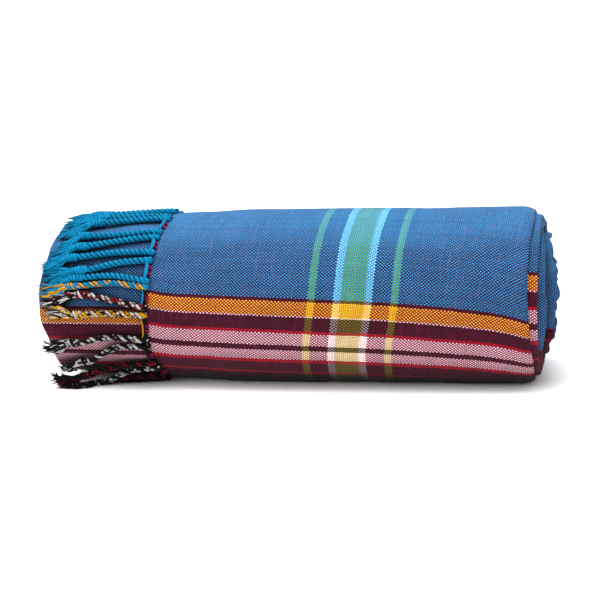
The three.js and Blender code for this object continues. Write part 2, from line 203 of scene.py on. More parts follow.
class Nodes:
    """Makes a material's nodes, each wired to the ones before it."""

    def __init__(self, name):
        self.material = bpy.data.materials.new(name)
        self.material.use_nodes = True
        self.tree = self.material.node_tree
        self.shader = self.tree.nodes["Principled BSDF"]

    def add(self, kind, **settings):
        node = self.tree.nodes.new(kind)
        for name, value in settings.items():
            setattr(node, name, value)
        return node

    def join(self, value, socket):
        if isinstance(value, bpy.types.NodeSocket):
            self.tree.links.new(value, socket)
        else:
            socket.default_value = value

    def calc(self, operation, *values):
        node = self.add("ShaderNodeMath", operation=operation)
        for value, socket in zip(values, node.inputs):
            self.join(value, socket)
        return node.outputs[0]

    def blend(self, share, first, second, how="MIX"):
        node = self.add("ShaderNodeMix", data_type="RGBA", blend_type=how)
        for value, socket in zip((share, first, second), (node.inputs[0], node.inputs[6], node.inputs[7])):
            self.join(value, socket)
        return node.outputs[2]

    def spread(self, value, low, high, to_low=0.0, to_high=1.0):
        node = self.add("ShaderNodeMapRange", interpolation_type="SMOOTHSTEP")
        for given, socket in zip((value, low, high, to_low, to_high), node.inputs):
            self.join(given, socket)
        return node.outputs[0]

    def speckle(self, where, scale, detail=2.0):
        node = self.add("ShaderNodeTexNoise", noise_dimensions="3D")
        self.join(where, node.inputs["Vector"])
        node.inputs["Scale"].default_value = scale
        node.inputs["Detail"].default_value = detail
        return node.outputs["Fac"]

    def vector(self, x, y, z=0.0):
        node = self.add("ShaderNodeCombineXYZ")
        for value, socket in zip((x, y, z), node.inputs):
            self.join(value, socket)
        return node.outputs[0]

    def nook(self, distance, darkest):
        """The shade down in narrow places, as a factor of the colour."""
        node = self.add("ShaderNodeAmbientOcclusion", samples=6)
        node.inputs["Distance"].default_value = distance
        return self.spread(node.outputs["AO"], 0.15, 0.9, darkest, 1.0)

    def chart(self, at, start, end, ground, rows):
        """A ramp of flat colours across a striped cloth. Its alpha marks close-set warp."""
        ramp = self.add("ShaderNodeValToRGB")
        ramp.color_ramp.interpolation = "CONSTANT"
        self.join(self.calc("DIVIDE", self.calc("SUBTRACT", at, start), end - start), ramp.inputs[0])
        stops = ramp.color_ramp.elements
        stops.remove(stops[1])
        stops[0].position, stops[0].color = 0.0, (*ground[:3], 0.0)
        for place_at, colour in rows:
            close_set = 0.7 if colour == CRIMSON else 0.0
            stops.new((place_at - start) / (end - start)).color = (*colour[:3], close_set)
        return ramp


def woven_cotton():
    """Plain weave, drawn thread by thread from millimetres along and across the cloth."""
    weave = Nodes("woven_cotton")
    threads = weave.add("ShaderNodeUVMap", uv_map="Threads")
    parts = weave.add("ShaderNodeSeparateXYZ")
    weave.join(threads.outputs[0], parts.inputs[0])
    along, across = parts.outputs[0], parts.outputs[1]
    flat = weave.vector(along, across)
    wander = weave.calc("MULTIPLY", weave.calc("SUBTRACT", weave.speckle(flat, 0.22), 0.5), 0.9)
    pick = weave.calc("DIVIDE", weave.calc("ADD", along, wander), WEFT_SPACING)
    end = weave.calc("DIVIDE", weave.calc("ADD", across, wander), WARP_SPACING)
    pick_number, end_number = weave.calc("FLOOR", pick), weave.calc("FLOOR", end)
    waves = [weave.calc("SINE", weave.calc("MULTIPLY", count, math.pi)) for count in (pick, end)]
    crown = weave.calc("MULTIPLY", *waves)
    warp_up = weave.spread(crown, -0.04, 0.34)

    warp_at = weave.calc("MULTIPLY", weave.calc("ADD", end_number, 0.5), WARP_SPACING)
    weft_at = weave.calc("MULTIPLY", weave.calc("ADD", pick_number, 0.5), WEFT_SPACING)
    warp_chart = weave.chart(warp_at, WARP_FROM, WARP_TO, TURQUOISE, WARP_STRIPES)
    warp, close_set = warp_chart.outputs[0], warp_chart.outputs[1]
    weft = weave.chart(weft_at, WEFT_FROM, WEFT_TO, WINE, WEFT_STRIPES).outputs[0]

    # A thread between bright ones takes on some of their colour.
    near = weave.blend(1.0, warp, (3.0, 3.0, 2.5, 1.0), "MULTIPLY")
    near = weave.blend(1.0, near, (0.2, 0.2, 0.2, 1.0), "ADD")
    weft = weave.blend(0.85, weft, weave.blend(1.0, weft, near, "MULTIPLY"))

    # Short lengths of the weft are dyed magenta and violet.
    dyed = weave.speckle(weave.vector(weave.calc("MULTIPLY", along, 3.0),
                                      weave.calc("MULTIPLY", across, 0.45), 4.0), 0.35, 3.0)
    ground_weft = weave.calc("SUBTRACT", 1.0, weave.spread(
        weave.calc("ABSOLUTE", weave.calc("SUBTRACT", along, CROSS_MIDDLE)), 25.0, 23.5))
    dyed_share = weave.calc("MULTIPLY", weave.spread(dyed, 0.52, 0.68, 0.0, 0.62), ground_weft)
    weft = weave.blend(dyed_share, weft, VIOLET)

    # The warp still shows a little where the weft is on top, and more where it is set close.
    # On top of the roll the weft is painted towards the warp's colour, as painted light: there the top
    # light and the grazing view show more of the warp's crowns.
    facing = weave.add("ShaderNodeSeparateXYZ")
    weave.join(weave.add("ShaderNodeNewGeometry").outputs["Normal"], facing.inputs[0])
    painted_top_light = weave.spread(facing.outputs[2], 0.55, 1.0)
    weft = weave.blend(weave.calc("MULTIPLY", painted_top_light, 0.42), weft, warp, "LIGHTEN")
    shown = weave.calc("MAXIMUM", weave.spread(warp_up, 0.0, 1.0, 0.07, 1.0), close_set)
    body = weave.blend(shown, weft, warp)

    # Each thread has its own shade, each fibre too, and the gaps between threads are darkened with painted
    # shade.
    thread_number = weave.blend(warp_up, weave.vector(pick_number, 1.0), weave.vector(end_number, 2.0))
    shade = weave.add("ShaderNodeTexWhiteNoise", noise_dimensions="2D")
    weave.join(thread_number, shade.inputs["Vector"])
    uneven = weave.spread(shade.outputs["Value"], 0.0, 1.0, 0.84, 1.12)
    fibre = weave.spread(weave.speckle(flat, 5.0, 3.0), 0.3, 0.7, 0.86, 1.12)
    hollow = weave.calc("POWER", weave.calc("ABSOLUTE", crown), 0.55)
    # Painted shade in the hollows between threads. The top of the roll is made lighter here too, which is
    # painted light.
    gap = weave.calc("ADD", weave.spread(hollow, 0.0, 0.9, 0.14, 1.12),
                     weave.calc("MULTIPLY", painted_top_light, 0.12))
    # Painted shade down in narrow places: in creases, between folds and windings, and under the cords.
    gap = weave.calc("MULTIPLY", gap, weave.nook(0.010, 0.06))
    cloudy = weave.spread(weave.speckle(flat, 0.05, 2.0), 0.3, 0.7, 0.93, 1.07)
    value = weave.calc("MULTIPLY", weave.calc("MULTIPLY", uneven, fibre),
                      weave.calc("MULTIPLY", gap, cloudy))
    grey = weave.add("ShaderNodeCombineColor")
    for socket in grey.inputs[:3]:
        weave.join(value, socket)
    weave.join(weave.blend(1.0, body, grey.outputs[0], "MULTIPLY"), weave.shader.inputs["Base Color"])

    # Threads stand up as rounded crowns with some fluff.
    lift = weave.calc("ADD", hollow, weave.calc("MULTIPLY", weave.speckle(flat, 7.0, 3.0), 0.35))
    bump = weave.add("ShaderNodeBump")
    bump.inputs["Strength"].default_value = 0.55
    bump.inputs["Distance"].default_value = 0.00022
    weave.join(lift, bump.inputs["Height"])
    weave.join(bump.outputs[0], weave.shader.inputs["Normal"])
    weave.join(weave.spread(fibre, 0.86, 1.12, 0.92, 0.78), weave.shader.inputs["Roughness"])
    weave.shader.inputs["Specular IOR Level"].default_value = 0.12
    weave.shader.inputs["Sheen Weight"].default_value = 0.04
    weave.shader.inputs["Sheen Roughness"].default_value = 0.45
    weave.shader.inputs["Sheen Tint"].default_value = (0.85, 0.92, 1.0, 1.0)
    return weave.material


cotton = woven_cotton()


# The outer stretch of the folded cloth, wound once round the roll. It starts at the
# fringed edge, ends at the right in a round fold and turns back under itself there.
CLOTH = 0.75
LAYERS = 7
LAYER = PITCH / LAYERS
ABOVE_FLOOR = 0.02
ROUND_STEPS = 180
FOLD_BENDS, BACK_STEPS = 7, 4
# Where the fringed edge and the outer folds lie, round the roll: angle, and x.
FRINGE_EDGE = ((-150, -61), (-75, -59.5), (-48, -62), (-22, -63.7), (5, -65.2), (31, -65.8),
               (54, -62), (95, -62.5), (145, -61.5))
RIGHT_FOLD = ((-150, 120), (-72, 120.2), (-42, 118.2), (-12, 117.6), (18, 118.4), (45, 119.8),
              (100, 119.8))
# The angle of the first stripe's upper edge, along the roll.
STRIPE_PATH = ((-66, -15.2), (-54, -12.4), (-41, -11.2), (41, -6.6), (62, -4.8), (84, -2.2),
               (101, 0.6), (112, 3.6), (121, 7.8))
# How far the weft leans along the roll, at angles from behind the top to the selvedge.
WEFT_LEAN = ((-253, 6.5), (-150, 5.5), (-86, 4.0), (-40, 1.2), (-4, -0.9), (28, -5.1), (48, -6.2),
             (75, -6.2), (107, -7.0))


def along_curve(rows, at):
    """Reads a table of two columns as a smooth curve through its rows."""
    held = min(rows[-1][0], max(rows[0][0], at))
    span = max(row for row in range(len(rows) - 1) if rows[row][0] <= held)
    (x0, y0), (x1, y1) = rows[span], rows[span + 1]
    before, after = rows[max(span - 1, 0)], rows[min(span + 2, len(rows) - 1)]
    slope_0 = (y1 - before[1]) / (x1 - before[0])
    slope_1 = (after[1] - y0) / (after[0] - x0)
    wide = x1 - x0
    part = (held - x0) / wide
    return ((2 * part ** 3 - 3 * part ** 2 + 1) * y0 + (part ** 3 - 2 * part ** 2 + part) * wide * slope_0
            + (3 * part ** 2 - 2 * part ** 3) * y1 + (part ** 3 - part ** 2) * wide * slope_1)


def round_table(rows, angle):
    """Reads a table of angle and x that closes on itself."""
    first = rows[0][0]
    turned = (angle - first) % 360 + first
    closed = rows + ((first + 360, rows[0][1]),)
    return along_table(closed, turned)


ARC_STEPS = 720
arc_lengths = [0.0]
for step in range(ARC_STEPS):
    here, there = (place(0, SELVEDGE_ANGLE + 360 * at / ARC_STEPS, 0) for at in (step, step + 1))
    arc_lengths.append(arc_lengths[-1] + (there - here).length)
ROUND = arc_lengths[-1]


def arc_at(angle):
    """Millimetres round the outline from the selvedge's angle, for angles up to a turn on."""
    at = (angle - SELVEDGE_ANGLE) / 360 * ARC_STEPS
    whole = int(math.floor(at))
    turns, inside = divmod(whole, ARC_STEPS)
    part = at - whole
    length = arc_lengths[inside] * (1 - part) + arc_lengths[inside + 1] * part
    return turns * ROUND + length


# Shallow creases: where each starts and ends, its half width and depth in millimetres.
CREASES = (
    ((-58, -30), (10, -44), 4.0, 0.55), ((-50, 18), (0, 8), 5.0, 0.5), ((118, -38), (78, -30), 3.2, 0.5),
    ((119, 22), (92, 16), 3.0, 0.55), ((30, -60), (112, -66), 6.0, 0.6), ((-56, 48), (40, 55), 5.0, 0.45),
    ((70, -100), (116, -92), 4.0, 0.6), ((-50, -120), (20, -108), 5.0, 0.6),
    ((-30, -165), (60, -150), 6.0, 0.7), ((118, -190), (70, -182), 3.5, 0.6),
    ((-108, -20), (-84, -26), 3.0, 0.5), ((-112, 26), (-88, 20), 3.0, 0.5),
    ((-110, -70), (-80, -64), 3.5, 0.5), ((-112, -140), (-82, -150), 4.0, 0.6),
)


def crease_depth(x, angle):
    total = 0.0
    arm = MIDDLE * math.pi / 180
    for (x0, from_angle), (x1, to_angle), wide, deep in CREASES:
        run_x, run_y = x1 - x0, (to_angle - from_angle) * arm
        off_x, off_y = x - x0, (angle - from_angle) * arm
        share = (off_x * run_x + off_y * run_y) / (run_x ** 2 + run_y ** 2)
        if -0.3 < share < 1.3:
            held = min(1.0, max(0.0, share))
            away = math.hypot(off_x - held * run_x, off_y - held * run_y)
            total += deep * math.exp(-(away / wide) ** 2) * (1 - 0.6 * held)
    return total


def soft_waves(x, angle, strength=0.35):
    """Small unevenness of a layer that lies on others, in millimetres of depth."""
    turn = math.radians(angle)
    where = Vector((x / 26, 2.1 * math.cos(turn), 2.1 * math.sin(turn)))
    fine = Vector((x / 9, 6.0 * math.cos(turn), 6.0 * math.sin(turn)))
    waves = strength * (noise.noise(where) + 0.35 * noise.noise(fine) + 0.6)
    return waves + crease_depth(x, angle)


def threaded_piece(name, points, faces, threads, material, smooth=True):
    """A piece of cloth or yarn, with its chart of threads, put into the scene."""
    mesh = bpy.data.meshes.new(name)
    mesh.from_pydata(points, [], faces)
    chart = mesh.uv_layers.new(name="Threads")
    for loop in mesh.loops:
        chart.data[loop.index].uv = threads[loop.vertex_index]
    mesh.polygons.foreach_set("use_smooth", [smooth] * len(mesh.polygons))
    mesh.materials.append(material)
    piece = bpy.data.objects.new(name, mesh)
    bpy.context.scene.collection.objects.link(piece)
    return piece


def thicken(piece, thickness):
    """Gives a sheet its thickness in millimetres, half to either side."""
    shell = piece.modifiers.new("cloth", "SOLIDIFY")
    shell.thickness, shell.offset = thickness / 1000, 0.0


def woven_sheet(name, rows):
    """A sheet from rows of (point in millimetres, threads along, threads across)."""
    width = len(rows[0])
    points = [metres(spot[0]) for row in rows for spot in row]
    threads = [spot[1:] for row in rows for spot in row]
    faces = []
    for row in range(len(rows) - 1):
        for at in range(width - 1):
            low = row * width + at
            faces.append((low, low + 1, low + width + 1, low + width))
    return threaded_piece(name, points, faces, threads, cotton)


def fold_profile(start, fold, back_by, depth, gap, count):
    """Points (x, depth, millimetres of cloth) from start, round a fold at fold, and back."""
    toward = 1 if fold > start else -1
    bend = fold - toward * gap / 2
    rows = [(start + (bend - start) * at / count, depth, abs(bend - start) * at / count)
            for at in range(count)]
    gone = abs(bend - start)
    for at in range(FOLD_BENDS + 1):
        turn = math.pi * at / FOLD_BENDS
        rows.append((bend + toward * math.sin(turn) * gap / 2,
                     depth + (1 - math.cos(turn)) * gap / 2, gone + turn * gap / 2))
    gone += math.pi * gap / 2
    for at in range(1, BACK_STEPS + 1):
        back = back_by * at / BACK_STEPS
        rows.append((bend - toward * back, depth + gap, gone + back))
    return rows


def wound_sheet(name, profile_at, threads_at, wave=0.35):
    """Carries a profile once round the roll, from just past the selvedge to the selvedge."""
    rows = []
    for step in range(ROUND_STEPS + 1):
        turn = step / ROUND_STEPS
        angle = SELVEDGE_ANGLE + 360 * (turn - 1)
        row = []
        for x, depth, gone in profile_at(angle):
            point = wound_place(x, turn, depth + soft_waves(x, angle, wave))
            point.z = max(point.z, CLOTH / 2 + ABOVE_FLOOR)
            row.append((point, *threads_at(x, angle, gone)))
        rows.append(row)
    piece = woven_sheet(name, rows)
    thicken(piece, CLOTH)
    return piece


def tightness(x, depth=0.0):
    """How much shorter the way round is at a depth than along the outline."""
    return 1 - (along_table(SLACK, x) + depth) / MIDDLE


def outer_profile(angle):
    return fold_profile(round_table(FRINGE_EDGE, angle), round_table(RIGHT_FOLD, angle),
                        back_by=9, depth=CLOTH / 2, gap=LAYER, count=92)


def outer_threads(x, angle, gone):
    start = round_table(FRINGE_EDGE, angle)
    along = start + gone - along_curve(WEFT_LEAN, angle)
    across = arc_at(angle) - arc_at(along_curve(STRIPE_PATH, x))
    return along, across * tightness(x)


outer_stretch = wound_sheet("outer_stretch", outer_profile, outer_threads)
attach(outer_stretch, "root")
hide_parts("cloth_outer")


# The second stretch comes back from the outer fold, under the outer stretch and out
# past the fringe, and turns under in a round fold at the left end of the roll.
# Each stretch has its own length of the thread charts, and its stripes their own angle.
SECOND_DEPTH = 1.25
SECOND_START = -44.0
SECOND_THREADS = 400
LEFT_FOLD = ((-150, -115), (-70, -114.6), (-46, -116.4), (-12, -119.4), (8, -119.4), (25, -117),
             (48, -116.8), (95, -115), (145, -116.4))
SECOND_STRIPES = -2.4


def second_profile(angle):
    return fold_profile(SECOND_START, round_table(LEFT_FOLD, angle),
                        back_by=12, depth=SECOND_DEPTH, gap=LAYER, count=36)


def second_threads(x, angle, gone):
    across = (arc_at(angle) - arc_at(SECOND_STRIPES)) * tightness(x, SECOND_DEPTH)
    return SECOND_THREADS + gone + along_curve(WEFT_LEAN, angle) * 0.4, across


second_stretch = wound_sheet("second_stretch", second_profile, second_threads, 0.3)
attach(second_stretch, "root")
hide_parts("cloth_second")


# The third stretch shows as a narrow sliver past the outer fold at the right end. Its
# stripes lie higher than those of the outer stretch.
THIRD_DEPTH = 2 * LAYER + 0.35
THIRD_FOLD = ((-150, 124.2), (-72, 123.4), (-30, 122.4), (5, 121.9), (45, 122.4), (100, 123.2))
THIRD_STRIPES = -26.2
THIRD_THREADS = 700


def third_profile(angle):
    return fold_profile(THIRD_START + 1, round_table(THIRD_FOLD, angle),
                        back_by=8, depth=THIRD_DEPTH, gap=LAYER * 1.2, count=10)


def third_threads(x, angle, gone):
    return THIRD_THREADS + gone, (arc_at(angle) - arc_at(THIRD_STRIPES)) * tightness(x, THIRD_DEPTH)


third_stretch = wound_sheet("third_stretch", third_profile, third_threads, 0.3)
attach(third_stretch, "root")
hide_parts("cloth_third")


# The ends of the hidden layers: each winding of the folded strip shows soft round folds,
# running in a spiral from the outside to the heart of the roll. At the right the first
# winding hangs a little forward, the second lies back in shadow and the inner ones bulge.
RECESS = 11.0
# Where the tips of the right folds lie: angle, and x.
INNER_END = ((-150, 127.6), (-82, 127.6), (-60, 129.6), (-48, 129.0), (-34, 130.6), (-24, 129.2),
             (-10, 131.0), (4, 129.4), (18, 129.4), (33, 128.4), (46, 127.8), (62, 127.2), (95, 126.4),
             (145, 129))
FIRST_WINDING = ((-150, 126.4), (-75, 126), (-45, 126.6), (-20, 126.4), (0, 127.2), (22, 127),
                 (38, 126), (60, 124.6), (100, 125))
# The folds turn from the blue ground to the burgundy selvedge past these angles.
STRIPES_FROM, STRIPES_FROM_BEHIND = 38.0, 24.0
STRIPES_WIDE = 36.0
FOLD_STEP = 2.4
FOLD_LEG = 12.0
HEART = 3.0
LEAST_HEIGHT = 0.05
INNER_THREADS = 900


def fold_skin(fat):
    """Across one fold: (how far in from its tip, how far to the side), in millimetres."""
    skin = [(FOLD_LEG, -fat), (5.0, -fat), (2.2, -fat)]
    skin += [(1.1 * (1 - math.cos(math.radians(part))), -fat * math.sin(math.radians(part)))
             for part in (65, 40, 14, -14, -40, -65)]
    return skin + [(2.2, fat), (5.0, fat), (FOLD_LEG, fat)]


def end_folds(name, centres, late, reach_at, toward):
    """Sweeps folds in along the spiral: how deep each lies, and the part turn it starts at."""
    points, faces, threads = [], [], []
    for fold, centre in enumerate(centres):
        turn_back = late[fold]
        before, was_ground = None, None
        while True:
            winding = int(turn_back)
            turn = 1 - (turn_back - winding)
            depth = centre + PITCH * winding
            radius = MIDDLE - depth - PITCH * (1 - ease(turn / STEP_FADE)) - 1.0
            if radius < HEART:
                break
            angle = SELVEDGE_ANGLE + 360 * (turn - 1)
            fat = 1.4 + 0.8 * noise.noise(Vector((turn_back * 10, fold * 3.1, toward)))
            fat += 0.3 * ease(1.2 - turn_back) * ease(turn_back * 4)
            sway = 1.5 * noise.noise(Vector((turn_back * 7.5, 7.7 + fold * 0.6, toward)))
            sway += 0.7 * noise.noise(Vector((turn_back * 19, 3.3 + fold * 0.4, toward)))
            sway *= ease(turn_back)
            reach = reach_at(fold, turn_back, angle)
            behind = toward > 0 and (fold == 0 or turn_back > 0.9) and turn_back < 2
            across = arc_at(angle) - arc_at(STRIPES_FROM_BEHIND if behind else STRIPES_FROM)
            across -= 0 if behind else ROUND * winding * (1 - depth / 90)
            ground = across < 0
            skin = fold_skin(fat)
            rings = [was_ground, ground] if before is not None and ground != was_ground else [ground]
            for is_ground in rings:
                first = len(points)
                gone = 0.0
                for at, (inwards, side) in enumerate(skin):
                    if at:
                        gone += math.hypot(inwards - skin[at - 1][0], side - skin[at - 1][1])
                    spot = wound_place(reach - toward * inwards, turn, depth + sway + side)
                    spot.z = max(spot.z, LEAST_HEIGHT)
                    points.append(metres(spot))
                    threads.append((INNER_THREADS + 40 * fold + gone,
                                    across + (0 if is_ground else STRIPES_WIDE)))
                if before is not None:
                    for at in range(len(skin) - 1):
                        corner = before + at
                        quad = (corner, corner + 1, first + at + 1, first + at)
                        faces.append(quad if toward > 0 else quad[::-1])
                else:
                    faces.append(tuple(range(first, first + len(skin))))
                before = first
            was_ground = ground
            turn_back += FOLD_STEP / (2 * math.pi * radius)
    piece = threaded_piece(name, points, faces, threads, cotton)
    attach(piece, "root")
    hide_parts("roll_inner")


def right_reach(fold, turn_back, angle):
    uneven = 1.8 * noise.noise(Vector((turn_back * 10, fold * 2.3, 1.5)))
    uneven += 0.9 * noise.noise(Vector((turn_back * 26, fold * 4.1, 6.5)))
    first = round_table(FIRST_WINDING, angle) - 0.8 * fold + uneven * 0.6
    inner = round_table(INNER_END, angle) - 0.5 * max(0.0, turn_back - 2) + uneven * 1.8
    recess = first - RECESS
    if fold == 1:
        return first + (inner - first) * ease((turn_back - 0.92) / 0.3)
    if turn_back < 1.7:
        return first + (recess - first) * ease((turn_back - 1.0) / 0.25)
    return recess + (inner - recess) * ease((turn_back - 1.75) / 0.4)


def left_reach(fold, turn_back, angle):
    uneven = 1.4 * noise.noise(Vector((turn_back * 6, fold * 2.3, 8.5)))
    return round_table(LEFT_FOLD, angle) + 1.0 + 0.4 * turn_back + uneven


# The heart of the roll: the hidden layers of the same cloth, wound tight. Only its
# surface is needed, which lies under the stretches and closes the view between the folds.
HEART_STEPS = 96
# From the middle of one end to that of the other: x, and depth.
HEART_SKIN = ((-106, 40), (-106, 25), (-106, 5), (-104, 3.6), (-40, 3.2), (40, 3.2),
              (108, 3.6), (112, 5.6), (112, 25), (112, 40))


def roll_heart():
    rows = []
    for step in range(HEART_STEPS + 1):
        turn = step / HEART_STEPS
        across = arc_at(SELVEDGE_ANGLE + 360 * (turn - 1)) - 300
        rows.append([(wound_place(x, turn, depth), x + INNER_THREADS, across) for x, depth in HEART_SKIN])
    return woven_sheet("roll_heart", rows)


heart = roll_heart()
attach(heart, "root")
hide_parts("roll_inner")
end_folds("right_end_folds", centres=(3.7, 6.1), late=(0.8, 0.0), reach_at=right_reach, toward=1)
end_folds("left_end_folds", centres=(2.0, 5.0), late=(0.75, 0.0), reach_at=left_reach, toward=-1)


# The selvedges of the layers under the outer one: woven edges, left as they come off the
# loom. They end together under the roll, a little out of step, and only a strip of each
# is built.
SELVEDGE_LONG, SELVEDGE_STRIP, SELVEDGE_THICK = 180.0, 12.0, 0.6
SELVEDGE_FROM = -62
SELVEDGE_STEPS, STRIP_STEPS = 60, 4
UNDER_LAYERS = LAYERS - 1


def selvedge_layers():
    points, faces, threads = [], [], []
    wide = STRIP_STEPS + 1
    for layer in range(1, UNDER_LAYERS + 1):
        ends_at = 1 - (0.6 + 0.9 * ((layer * 5) % 4)) / ROUND
        base = len(points)
        for step in range(SELVEDGE_STEPS + 1):
            x = SELVEDGE_FROM + SELVEDGE_LONG * step / SELVEDGE_STEPS
            for at in range(wide):
                turn = ends_at - SELVEDGE_STRIP / ROUND * (1 - at / STRIP_STEPS)
                points.append(metres(wound_place(x, turn, layer * LAYER + 0.3)))
                threads.append((x + INNER_THREADS, 70 + SELVEDGE_STRIP * at / STRIP_STEPS))
        for step in range(SELVEDGE_STEPS):
            for at in range(STRIP_STEPS):
                low = base + step * wide + at
                faces.append((low, low + wide, low + wide + 1, low + 1))
    piece = threaded_piece("selvedge_layers", points, faces, threads, cotton, smooth=False)
    thicken(piece, SELVEDGE_THICK)
    return piece


selvedges = selvedge_layers()
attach(selvedges, "root")


# The fringe: the warp ends past the last pick, twisted from two or three plies into
# cords, knotted near the end and left to fray. Each cord takes the colours of the
# stripes that it grows from.
CYAN = yarn(2, 134, 182)
BLACK = yarn(16, 10, 12)
CHALK = yarn(200, 196, 194)
YOLK = yarn(214, 150, 10)
DARK_RED = yarn(120, 10, 28)
SEA = (CYAN, CYAN)
SUN = (CYAN, YOLK, CYAN)
COAL = (BLACK, BLACK, BLACK)
MAGPIE = (BLACK, CHALK, DARK_RED)
BEE = (YOLK, CHALK, BLACK)
JET = (BLACK, DARK_RED, BLACK)
MILK = (BLACK, CHALK, BLACK)
# Each cord: the angles of root, halfway, knot and tip, the x of knot and tip, the knot's
# radius, how far the tip stands off, and the colours of the plies.
FRINGE = (
    (-79, -80, -80, -76, -93, -108, 2.2, 0, SEA), (-75, -74, -72, -61, -95, -109, 2.2, 0, SEA),
    (-59, -57, -57, -47, -99, -109, 2.2, 0, SEA), (-54, -51, -47, -38, -99, -112, 2.2, 0, SEA),
    (-41, -41, -38, -31, -103, -115, 2.2, 0, SEA), (-35, -33, -28, -25, -97, -112, 2.5, 0, SEA),
    (-20, -24, -23, -19, -99, -113, 2.1, 0, SEA), (-16, -19, -17, -13, -101, -115, 2.1, 0, SUN),
    (-2, -7, -11, -8, -97, -113, 2.2, 0, MAGPIE), (3, 2, 3, 1, -100, -112, 2.2, 0, BEE),
    (20, 19, 24, 31, -104, -117, 2.2, 0, MILK), (25, 27, 40, 49, -100, -112, 2.2, 2, MILK),
    (40, 43, 50, 50, -101, -114, 2.2, 9, JET), (45, 49, 57, 54, -95, -108, 2.1, 12, MILK),
    (59, 58, 60, 57, -99, -111, 1.7, 14, JET), (64, 64, 66, 60, -91, -103, 1.6, 15, COAL),
    (80, 81, 84, 85, -98, -110, 1.6, 0.5, JET), (86, 88, 92, 95, -102, -113, 1.6, 0.5, JET),
    (98, 99, 102, 103, -97, -109, 1.6, 0.5, JET), (122, 120, 117, 114, -101, -113, 2.2, 1, SEA),
    (128, 127, 125, 123, -98, -110, 2.2, 1, SEA), (142, 140, 136, 132, -103, -115, 2.2, 0, SEA),
    (147, 148, 146, 141, -97, -111, 2.2, 0, SEA), (162, 160, 157, 154, -100, -112, 2.2, 0, SEA),
    (168, 170, 168, 163, -102, -114, 2.2, 0, SEA), (182, 180, 178, 175, -96, -110, 2.2, 0, SEA),
    (188, 190, 190, 186, -101, -114, 2.2, 0, SEA), (201, 199, 199, 196, -99, -112, 2.2, 0, SEA),
    (206, 209, 210, 207, -103, -115, 2.2, 0, SEA), (221, 219, 220, 216, -98, -110, 2.2, 0, SEA),
    (226, 230, 231, 227, -100, -113, 2.2, 0, SEA), (241, 240, 242, 238, -102, -114, 2.2, 0, SEA),
    (247, 252, 254, 250, -97, -109, 2.2, 0, SEA), (261, 263, 265, 262, -99, -112, 2.2, 0, SEA),
    (266, 273, 274, 273, -95, -108, 2.2, 0, SEA),
)
# PLY_TURN and KNOT_TURN are the length of a whole turn, for each ply of the cord.
PLY_RADIUS, PLY_OFFSET, PLY_TURN = 0.88, 0.86, 2.5
KNOT_LENGTH, KNOT_TURN = 4.6, 1.5
CORD_LIFT, PRESSED_LIFT, PRESSED = PLY_RADIUS + PLY_OFFSET, 1.3, 0.78
LOCKS = 30
LOCK_RADII = (1.0, 1.0, 1.15, 1.2, 1.15, 1.1, 1.0, 1.0, 0.9, 0.75, 0.45)
GATHER_RADII = (1.0, 1.3, 1.45, 1.5, 1.45, 1.3, 1.0)
HAIR_RADII = (0.2, 0.22, 0.22, 0.2, 0.18, 0.1)


def twisted_yarn():
    """Spun yarn: slanting strands and fluff, in the colour that each point carries."""
    twist = Nodes("twisted_yarn")
    chart = twist.add("ShaderNodeUVMap", uv_map="Threads")
    parts = twist.add("ShaderNodeSeparateXYZ")
    twist.join(chart.outputs[0], parts.inputs[0])
    colour = twist.add("ShaderNodeAttribute", attribute_name="Yarn")
    line = twist.calc("ADD", twist.calc("MULTIPLY", parts.outputs[0], 0.55),
                     twist.calc("MULTIPLY", parts.outputs[1], 6.0))
    strands = twist.calc("ABSOLUTE", twist.calc("SINE", twist.calc("MULTIPLY", line, math.pi)))
    fuzz = twist.speckle(twist.vector(parts.outputs[0], parts.outputs[1]), 3.0, 3.0)
    # The grooves between the slanting strands are darkened, which is painted shade.
    value = twist.calc("MULTIPLY", twist.spread(strands, 0.0, 1.0, 0.62, 1.1),
                      twist.spread(fuzz, 0.3, 0.7, 0.85, 1.15))
    # Painted shade down in narrow places: between the plies and where cords lie on the cloth.
    value = twist.calc("MULTIPLY", value, twist.nook(0.0025, 0.4))
    grey = twist.add("ShaderNodeCombineColor")
    for socket in grey.inputs[:3]:
        twist.join(value, socket)
    twist.join(twist.blend(1.0, colour.outputs["Color"], grey.outputs[0], "MULTIPLY"),
               twist.shader.inputs["Base Color"])
    bump = twist.add("ShaderNodeBump")
    bump.inputs["Strength"].default_value = 0.6
    bump.inputs["Distance"].default_value = 0.0003
    twist.join(twist.calc("ADD", strands, fuzz), bump.inputs["Height"])
    twist.join(bump.outputs[0], twist.shader.inputs["Normal"])
    twist.join(twist.spread(fuzz, 0.3, 0.7, 0.75, 0.92), twist.shader.inputs["Roughness"])
    twist.shader.inputs["Specular IOR Level"].default_value = 0.06
    twist.shader.inputs["Sheen Weight"].default_value = 0.02
    twist.shader.inputs["Sheen Roughness"].default_value = 0.4
    return twist.material


spun_cotton = twisted_yarn()


def over_second(x, angle, lift):
    """A point lifted off the second stretch, on which the fringe lies."""
    turned = ((angle - SELVEDGE_ANGLE) % 360) / 360
    spot = wound_place(x, turned, SECOND_DEPTH - CLOTH / 2 - 0.1 - lift)
    spot.z = max(spot.z, 0.6)
    return spot


